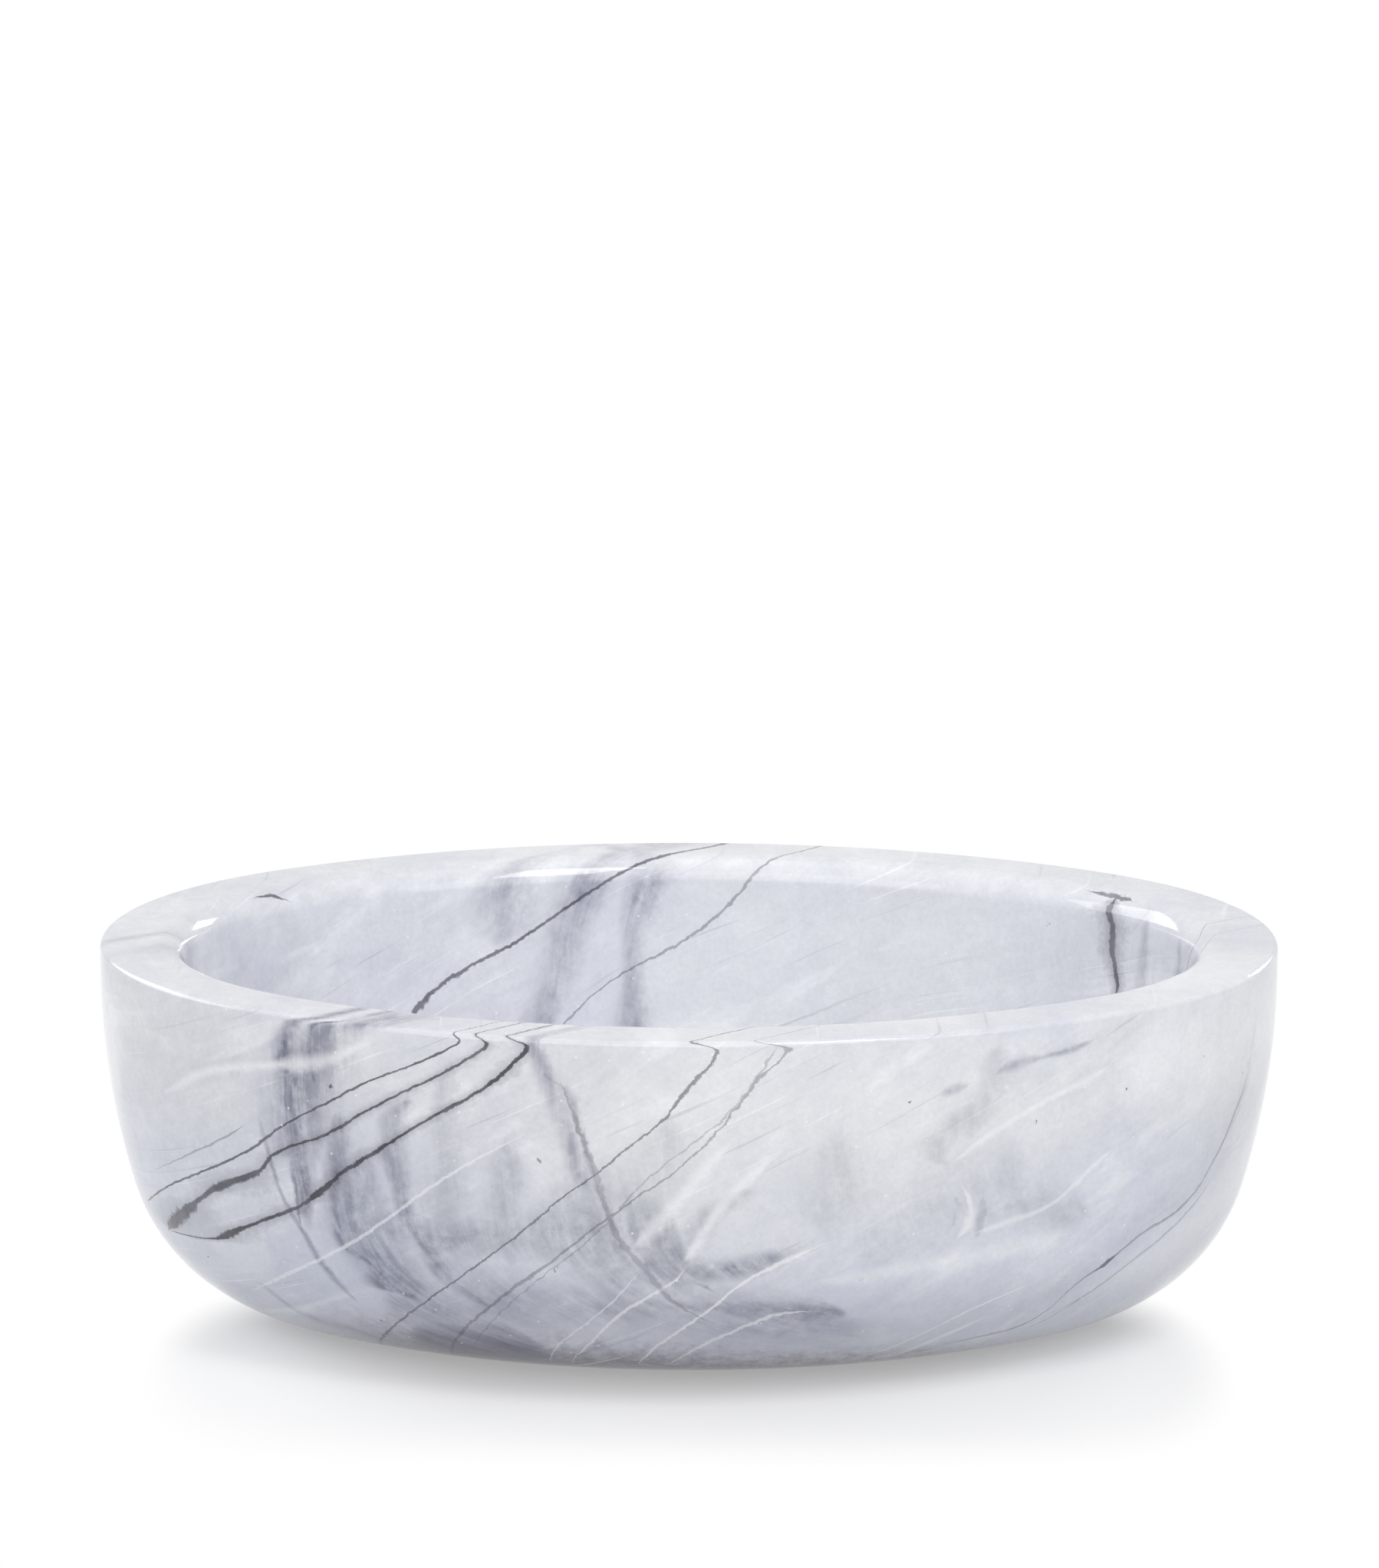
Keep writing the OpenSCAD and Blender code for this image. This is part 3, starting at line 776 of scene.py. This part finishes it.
def speckFields(tree, field):    # specks, open pits, the fine grain and the wear of the polish
    point = field["point"]
    field["fray"] = calc(tree, "MULTIPLY_ADD", noise(tree, field, "fray"), *stoneForm["fray"])
    field["rust"] = ramp(tree, "rust", noise(tree, field, "rust"))
    shaken = place(tree, "ShaderNodeVectorMath", operation="MULTIPLY_ADD")
    jag = centred(tree, noise(tree, field, "jag"))
    feed(tree, shaken.inputs, joined(tree, jag, jag, jag), stoneForm["jag"], point)
    cells = place(tree, "ShaderNodeTexVoronoi")
    tree.links.new(shaken.outputs[0], cells.inputs["Vector"])
    cells.inputs["Scale"].default_value = stoneForm["speckScale"]
    chosen = place(tree, "ShaderNodeSeparateColor")
    tree.links.new(cells.outputs["Color"], chosen.inputs[0])
    size = calc(tree, "MULTIPLY", ramp(tree, "specks", chosen.outputs[0], "LINEAR"),
                stoneForm["speckSize"])
    field["specks"] = calc(tree, "MULTIPLY", calc(
        tree, "GREATER_THAN", size, cells.outputs["Distance"]), stoneForm["speckShare"])
    dots = place(tree, "ShaderNodeTexVoronoi")
    tree.links.new(point, dots.inputs["Vector"])
    dots.inputs["Scale"].default_value = stoneForm["pitScale"]
    field["pits"] = calc(tree, "MULTIPLY", ramp(tree, "pits", dots.outputs["Distance"]),
                         stoneForm["pitShare"])
    grey = calc(tree, "MULTIPLY_ADD", noise(tree, field, "blotch"), *stoneForm["blotch"])
    grey = calc(tree, "MULTIPLY_ADD", noise(tree, field, "grain"), stoneForm["grain"], grey)
    field["grain"] = joined(tree, grey, grey, grey)
    field["wear"] = noise(tree, field, "wear")
    shiniest, dullest = stoneLook["gloss"]
    field["sheen"] = calc(tree, "MULTIPLY_ADD", field["wear"], dullest - shiniest, shiniest)


def stoneFields(tree):
    field = {}
    for draw in (axisFields, bedFields, brushFields, zoneFields, wallFields, speckFields):
        draw(tree, field)
    return field


def makeStone():
    material = newMaterial("polished stone")
    tree = material.node_tree
    field = stoneFields(tree)

    def along(look):    # a line of the stone, drawn over height or across the beds
        if look.get("level"):
            mask = lineMask(tree, field[look["lean"]], field["heightRough"], look, reachAcross,
                            reachUp, field["fray"])
        else:
            mask = lineMask(tree, field["height"], field[look["lean"] + "Rough"], look,
                            reachUp, reachAcross, field["fray"])
        kept = look.get("level") or look.get("outer")    # off the hollow's wall and floor
        return calc(tree, "MULTIPLY", mask, field["skin"]) if kept else mask

    def gather(looks, **shared):    # the strongest of several lines
        total = None
        for look in looks:
            mask = along({**look, **shared})
            total = mask if total is None else calc(tree, "MAXIMUM", total, mask)
        return total

    look = stoneLook
    base = blendTone(tree, field["cloud"], look["grey"], look["pale"])
    for name, (share, hue) in look["layers"].items():
        base = blendTone(tree, calc(tree, "MULTIPLY", field[name], share), base, look[hue])
    # dark smudges, with painted shade on the inner wall at the left end
    smudgeAndPaintedShade = calc(tree, "MAXIMUM",
                  calc(tree, "MULTIPLY", gather(smudges, soft=True), field["front"]),
                  calc(tree, "MULTIPLY", gather(backSmudgesAndPaintedShade, soft=True), field["behind"]))
    smudgeAndPaintedShade = calc(tree, "MAXIMUM", calc(tree, "MULTIPLY", smudgeAndPaintedShade, field["streaks"]),
                  calc(tree, "MULTIPLY", field["darkHairs"], look["hairShare"]))
    base = blendTone(tree, smudgeAndPaintedShade, base, look["smokeAndPaintedShade"])
    # white veins, and painted highlights at both ends, in the chalk tone
    base = blendTone(tree, gather(whiteVeinsAndPaintedHighlights), base, look["chalkAndPaintedHighlight"])
    farInk = calc(tree, "MULTIPLY", gather(backVeins), field["behind"])
    ink = calc(tree, "MAXIMUM", farInk, calc(tree, "MULTIPLY", gather(darkVeins), field["fade"]))
    inkTone = blendTone(tree, field["rust"], look["ink"], look["rustInk"])
    base = blendTone(tree, ink, base, inkTone)
    base = blendTone(tree, field["specks"], base, look["speck"])
    base = blendTone(tree, field["pits"], base, look["chalkAndPaintedHighlight"])
    base = blendTone(tree, 1.0, base, field["grain"], kind="MULTIPLY")
    surface = finishSurface(tree, base, field["sheen"],
                            calc(tree, "SUBTRACT", field["wear"], field["pits"]), look["relief"])
    surface.inputs["IOR"].default_value = look["ior"]
    print("stone mixed:", len(tree.nodes), "nodes")
    return material


# bumper feet

rubberLook = {
    "pale": tone(220, 220, 217), "dull": tone(197, 197, 194), "dusty": tone(182, 179, 173),
    "gloss": (0.36, 0.62), "relief": (0.15, 0.04),
    "cloudy": (0.45, 4, 0.6), "dust": (0.5, 4, 0.6), "pebbled": (3.5, 3, 0.6),    # noises
    "clouds": (0.35, 0.65), "dusted": (0.34, 0.7), "dustUp": (0.7, 0),    # ramps
}


def makeRubber():
    look = rubberLook
    material = newMaterial("bumper rubber")
    tree = material.node_tree
    point = inMillimetres(tree)
    cloudy = noiseNode(tree, point, *look["cloudy"])
    base = blendTone(tree, steps(tree, cloudy, *look["clouds"]), look["dull"], look["pale"])
    dust = calc(tree, "MULTIPLY", steps(tree, axesOf(tree, point)["Z"], *look["dustUp"]),
                steps(tree, noiseNode(tree, point, *look["dust"]), *look["dusted"]))
    base = blendTone(tree, dust, base, look["dusty"])
    shiniest, dullest = look["gloss"]
    roughness = calc(tree, "MULTIPLY_ADD", cloudy, dullest - shiniest, shiniest)
    finishSurface(tree, base, roughness, noiseNode(tree, point, *look["pebbled"]), look["relief"])
    print("rubber mixed:", len(tree.nodes), "nodes")
    return material


def dressFeet(material):
    for name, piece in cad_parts.items():
        if name.startswith("foot"):
            piece.data.materials.clear()
            piece.data.materials.append(material)
    print("feet dressed")


# floor, light and camera

floorLook = {
    "size": 6, "ownGlow": 0.34, "grey": 0.58,
    "shadeLength": 128, "shadeWidth": 80, "shadeMiddle": -30,    # patch that takes shade, in mm
    "squareness": 8, "shadeEdge": (0.3, 1),    # how it ends
}


def makeFloor():
    material = newMaterial("pale floor")
    tree = material.node_tree
    surface = place(tree, "ShaderNodeBsdfDiffuse")
    surface.inputs["Color"].default_value = (floorLook["grey"],) * 3 + (1,)
    glow = place(tree, "ShaderNodeEmission")
    seen = raysOf(tree, "Camera", "Glossy")
    tree.links.new(calc(tree, "MULTIPLY", seen, floorLook["ownGlow"]), glow.inputs["Strength"])
    both = place(tree, "ShaderNodeAddShader")
    feed(tree, both.inputs, surface.outputs[0], glow.outputs[0])
    white = place(tree, "ShaderNodeEmission")
    axes = axesOf(tree, inMillimetres(tree))
    sideways = calc(tree, "DIVIDE", axes["X"], floorLook["shadeLength"] / 2)
    sideways = calc(tree, "POWER", sideways, floorLook["squareness"])
    ahead = calc(tree, "SUBTRACT", axes["Y"], floorLook["shadeMiddle"])
    ahead = calc(tree, "DIVIDE", ahead, floorLook["shadeWidth"] / 2)
    spread = steps(tree, calc(tree, "MULTIPLY_ADD", ahead, ahead, sideways),
                   *floorLook["shadeEdge"])
    finishTree(tree, mixShaders(tree, calc(tree, "MULTIPLY", spread, seen), both.outputs[0],
                                white.outputs[0]))
    bm = bmesh.new()
    bmesh.ops.create_grid(bm, x_segments=1, y_segments=1, size=floorLook["size"] / 2)
    mesh = bpy.data.meshes.new("floor")
    bm.to_mesh(mesh)
    bm.free()
    floor = addPiece("floor", mesh, material)
    print("floor laid")


lightPlan = {    # metres and watts, all aimed at the same spot
    "overhead": {"size": (0.5, 0.4), "at": (0, 0.12, 0.8), "power": 0.3},
    "key": {"size": (0.24, 0.42), "at": (0.265, -0.46, 0.73), "power": 2.3},
    "front": {"size": (3.8, 1.2), "at": (0.1, -1.6, 0.8), "power": 18.5},
    "backRight": {"size": (0.26, 0.14), "at": (0.485, 0.69, 0.31), "power": 1.1},
    "backLeft": {"size": (1, 0.4), "at": (-0.72, 0.34, 0.42), "power": 3.4},
}
lightAim = Vector((0, 0, 0.03))
skyLight = 0.6


def makeLights():
    world = bpy.data.worlds.new("studio")
    bpy.context.scene.world = world
    world.use_nodes = True
    tree = world.node_tree
    tree.nodes.clear()
    light = place(tree, "ShaderNodeBackground")
    light.inputs["Strength"].default_value = skyLight
    white = place(tree, "ShaderNodeBackground")
    seen = raysOf(tree, "Camera", "Glossy", "Transmission")
    finishTree(tree, mixShaders(tree, seen, light.outputs[0], white.outputs[0]),
               "ShaderNodeOutputWorld")
    for name, plan in lightPlan.items():
        lamp = bpy.data.lights.new(name, "AREA")
        lamp.shape = "RECTANGLE"
        lamp.size, lamp.size_y = plan["size"]
        lamp.energy = plan["power"]
        stand = bpy.data.objects.new(name, lamp)
        bpy.context.scene.collection.objects.link(stand)
        stand.location = plan["at"]
        aim = (Vector(plan["at"]) - lightAim).to_track_quat("Z", "Y")
        stand.rotation_euler = aim.to_euler()
    print("lights set")


view = {
    "target": 22.8, "distance": 793.86, "raise": 39.65,    # millimetres
    "tilt": 0.2488, "roll": 0.0023,    # radians
    "lens": 152.03, "sensor": 36,    # millimetres
    "reach": 20,    # metres that the camera sees
}


def makeCamera():
    camera = bpy.data.cameras.new("camera")
    camera.sensor_width = view["sensor"]
    camera.lens = view["lens"]
    camera.clip_end = view["reach"]
    stand = bpy.data.objects.new("camera", camera)
    bpy.context.scene.collection.objects.link(stand)
    middle = Vector((0, 0, view["target"] * mm))
    back = Vector((0, -math.cos(view["tilt"]), math.sin(view["tilt"])))
    up = Vector((0, math.sin(view["tilt"]), math.cos(view["tilt"])))
    stand.location = middle + back * view["distance"] * mm
    aim = middle + up * view["raise"] * mm
    turned = (stand.location - aim).to_track_quat("Z", "Y").to_matrix().to_4x4()
    turned = turned @ Matrix.Rotation(view["roll"], 4, "Z")
    stand.rotation_euler = turned.to_euler()
    bpy.context.scene.camera = stand
    print("camera set")


makeBowl(makeStone())
dressFeet(makeRubber())
makeFloor()
makeLights()
makeCamera()
bpy.context.scene.view_settings.view_transform = "Standard"
